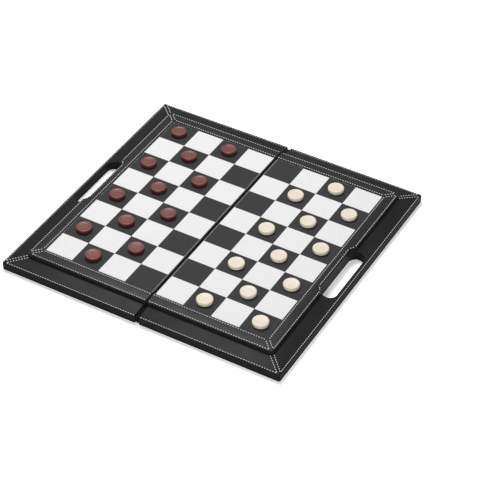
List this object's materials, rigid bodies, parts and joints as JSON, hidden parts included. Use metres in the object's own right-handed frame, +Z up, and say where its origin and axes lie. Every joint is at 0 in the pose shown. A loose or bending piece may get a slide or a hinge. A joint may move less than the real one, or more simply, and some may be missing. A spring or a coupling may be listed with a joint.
{
  "type": "folding games case",
  "caption": "Folding leatherette games case, open flat, chess side up with draughts set out; backgammon trays underneath and a hand slot in each side.",
  "frame": {"origin": "on the table under the middle of the hinge, at the rim plane", "axes": "+X across the hinge towards the half that folds, +Y along the hinge, +Z up"},
  "size_m": [0.4822, 0.475, 0.03],
  "materials": {
    "rail_leather": "fine-grained black leatherette, satin",
    "border_leather": "fine-grained black leatherette, satin, pale stitching",
    "ledge_leather": "fine-grained black leatherette, satin, pale stitching",
    "hinge_leather": "soft black leatherette, matt",
    "dark_squares": "charcoal leatherette, fine grain, matt",
    "light_squares": "white leatherette, fine grain, satin",
    "board": "bare fibreboard",
    "tray_lining": "short felt, matt",
    "light_points": "off-white leatherette, matt",
    "dark_points": "red-brown leatherette, matt",
    "magnet": "nickel-plated, dull",
    "brown_draughts": "stained and lacquered turned wood, satin",
    "cream_draughts": "pale lacquered turned wood, satin"
  },
  "bodies": {
    "left_half": {"spine_hinge": "hinge_leather", "left_front_rail": "rail_leather", "left_back_rail": "rail_leather", "left_handle_rail": "rail_leather", "left_spine_rail": "rail_leather", "left_panel_board": "board", "left_playing_sheet": "dark_squares", "left_light_squares": "light_squares", "left_front_border": "border_leather", "left_back_border": "border_leather", "left_side_border": "border_leather", "left_front_ledge": "ledge_leather", "left_back_ledge": "ledge_leather", "left_side_ledge": "ledge_leather", "left_backgammon_field": "tray_lining", "left_light_points": "light_points", "left_dark_points": "dark_points", "left_magnets": "magnet"},
    "right_half": {"right_front_rail": "rail_leather", "right_back_rail": "rail_leather", "right_handle_rail": "rail_leather", "right_spine_rail": "rail_leather", "right_panel_board": "board", "right_playing_sheet": "dark_squares", "right_light_squares": "light_squares", "right_front_border": "border_leather", "right_back_border": "border_leather", "right_side_border": "border_leather", "right_front_ledge": "ledge_leather", "right_back_ledge": "ledge_leather", "right_side_ledge": "ledge_leather", "right_backgammon_field": "tray_lining", "right_light_points": "light_points", "right_dark_points": "dark_points", "right_magnets": "magnet"},
    "brown_draught_01": {"brown_draught_01": "brown_draughts"},
    "brown_draught_02": {"brown_draught_02": "brown_draughts"},
    "brown_draught_03": {"brown_draught_03": "brown_draughts"},
    "brown_draught_04": {"brown_draught_04": "brown_draughts"},
    "brown_draught_05": {"brown_draught_05": "brown_draughts"},
    "brown_draught_06": {"brown_draught_06": "brown_draughts"},
    "brown_draught_07": {"brown_draught_07": "brown_draughts"},
    "brown_draught_08": {"brown_draught_08": "brown_draughts"},
    "brown_draught_09": {"brown_draught_09": "brown_draughts"},
    "brown_draught_10": {"brown_draught_10": "brown_draughts"},
    "brown_draught_11": {"brown_draught_11": "brown_draughts"},
    "brown_draught_12": {"brown_draught_12": "brown_draughts"},
    "cream_draught_01": {"cream_draught_01": "cream_draughts"},
    "cream_draught_02": {"cream_draught_02": "cream_draughts"},
    "cream_draught_03": {"cream_draught_03": "cream_draughts"},
    "cream_draught_04": {"cream_draught_04": "cream_draughts"},
    "cream_draught_05": {"cream_draught_05": "cream_draughts"},
    "cream_draught_06": {"cream_draught_06": "cream_draughts"},
    "cream_draught_07": {"cream_draught_07": "cream_draughts"},
    "cream_draught_08": {"cream_draught_08": "cream_draughts"},
    "cream_draught_09": {"cream_draught_09": "cream_draughts"},
    "cream_draught_10": {"cream_draught_10": "cream_draughts"},
    "cream_draught_11": {"cream_draught_11": "cream_draughts"},
    "cream_draught_12": {"cream_draught_12": "cream_draughts"}
  },
  "joints": [
    {"name": "fold", "type": "hinge", "parent": "left_half", "child": "right_half", "pos_m": [0, 0, 0], "axis": [0, 1, 0], "range_deg": [0, 180], "deforming": ["spine_hinge"]},
    {"name": "brown_draught_01_lift", "type": "slide", "parent": "left_half", "child": "brown_draught_01", "axis": [0, 0, 1], "range_m": [0, 0.05]},
    {"name": "brown_draught_02_lift", "type": "slide", "parent": "left_half", "child": "brown_draught_02", "axis": [0, 0, 1], "range_m": [0, 0.05]},
    {"name": "brown_draught_03_lift", "type": "slide", "parent": "left_half", "child": "brown_draught_03", "axis": [0, 0, 1], "range_m": [0, 0.05]},
    {"name": "brown_draught_04_lift", "type": "slide", "parent": "left_half", "child": "brown_draught_04", "axis": [0, 0, 1], "range_m": [0, 0.05]},
    {"name": "brown_draught_05_lift", "type": "slide", "parent": "left_half", "child": "brown_draught_05", "axis": [0, 0, 1], "range_m": [0, 0.05]},
    {"name": "brown_draught_06_lift", "type": "slide", "parent": "left_half", "child": "brown_draught_06", "axis": [0, 0, 1], "range_m": [0, 0.05]},
    {"name": "brown_draught_07_lift", "type": "slide", "parent": "left_half", "child": "brown_draught_07", "axis": [0, 0, 1], "range_m": [0, 0.05]},
    {"name": "brown_draught_08_lift", "type": "slide", "parent": "left_half", "child": "brown_draught_08", "axis": [0, 0, 1], "range_m": [0, 0.05]},
    {"name": "brown_draught_09_lift", "type": "slide", "parent": "left_half", "child": "brown_draught_09", "axis": [0, 0, 1], "range_m": [0, 0.05]},
    {"name": "brown_draught_10_lift", "type": "slide", "parent": "left_half", "child": "brown_draught_10", "axis": [0, 0, 1], "range_m": [0, 0.05]},
    {"name": "brown_draught_11_lift", "type": "slide", "parent": "left_half", "child": "brown_draught_11", "axis": [0, 0, 1], "range_m": [0, 0.05]},
    {"name": "brown_draught_12_lift", "type": "slide", "parent": "left_half", "child": "brown_draught_12", "axis": [0, 0, 1], "range_m": [0, 0.05]},
    {"name": "cream_draught_01_lift", "type": "slide", "parent": "right_half", "child": "cream_draught_01", "axis": [0, 0, 1], "range_m": [0, 0.05]},
    {"name": "cream_draught_02_lift", "type": "slide", "parent": "right_half", "child": "cream_draught_02", "axis": [0, 0, 1], "range_m": [0, 0.05]},
    {"name": "cream_draught_03_lift", "type": "slide", "parent": "right_half", "child": "cream_draught_03", "axis": [0, 0, 1], "range_m": [0, 0.05]},
    {"name": "cream_draught_04_lift", "type": "slide", "parent": "right_half", "child": "cream_draught_04", "axis": [0, 0, 1], "range_m": [0, 0.05]},
    {"name": "cream_draught_05_lift", "type": "slide", "parent": "right_half", "child": "cream_draught_05", "axis": [0, 0, 1], "range_m": [0, 0.05]},
    {"name": "cream_draught_06_lift", "type": "slide", "parent": "right_half", "child": "cream_draught_06", "axis": [0, 0, 1], "range_m": [0, 0.05]},
    {"name": "cream_draught_07_lift", "type": "slide", "parent": "right_half", "child": "cream_draught_07", "axis": [0, 0, 1], "range_m": [0, 0.05]},
    {"name": "cream_draught_08_lift", "type": "slide", "parent": "right_half", "child": "cream_draught_08", "axis": [0, 0, 1], "range_m": [0, 0.05]},
    {"name": "cream_draught_09_lift", "type": "slide", "parent": "right_half", "child": "cream_draught_09", "axis": [0, 0, 1], "range_m": [0, 0.05]},
    {"name": "cream_draught_10_lift", "type": "slide", "parent": "right_half", "child": "cream_draught_10", "axis": [0, 0, 1], "range_m": [0, 0.05]},
    {"name": "cream_draught_11_lift", "type": "slide", "parent": "right_half", "child": "cream_draught_11", "axis": [0, 0, 1], "range_m": [0, 0.05]},
    {"name": "cream_draught_12_lift", "type": "slide", "parent": "right_half", "child": "cream_draught_12", "axis": [0, 0, 1], "range_m": [0, 0.05]}
  ]
}
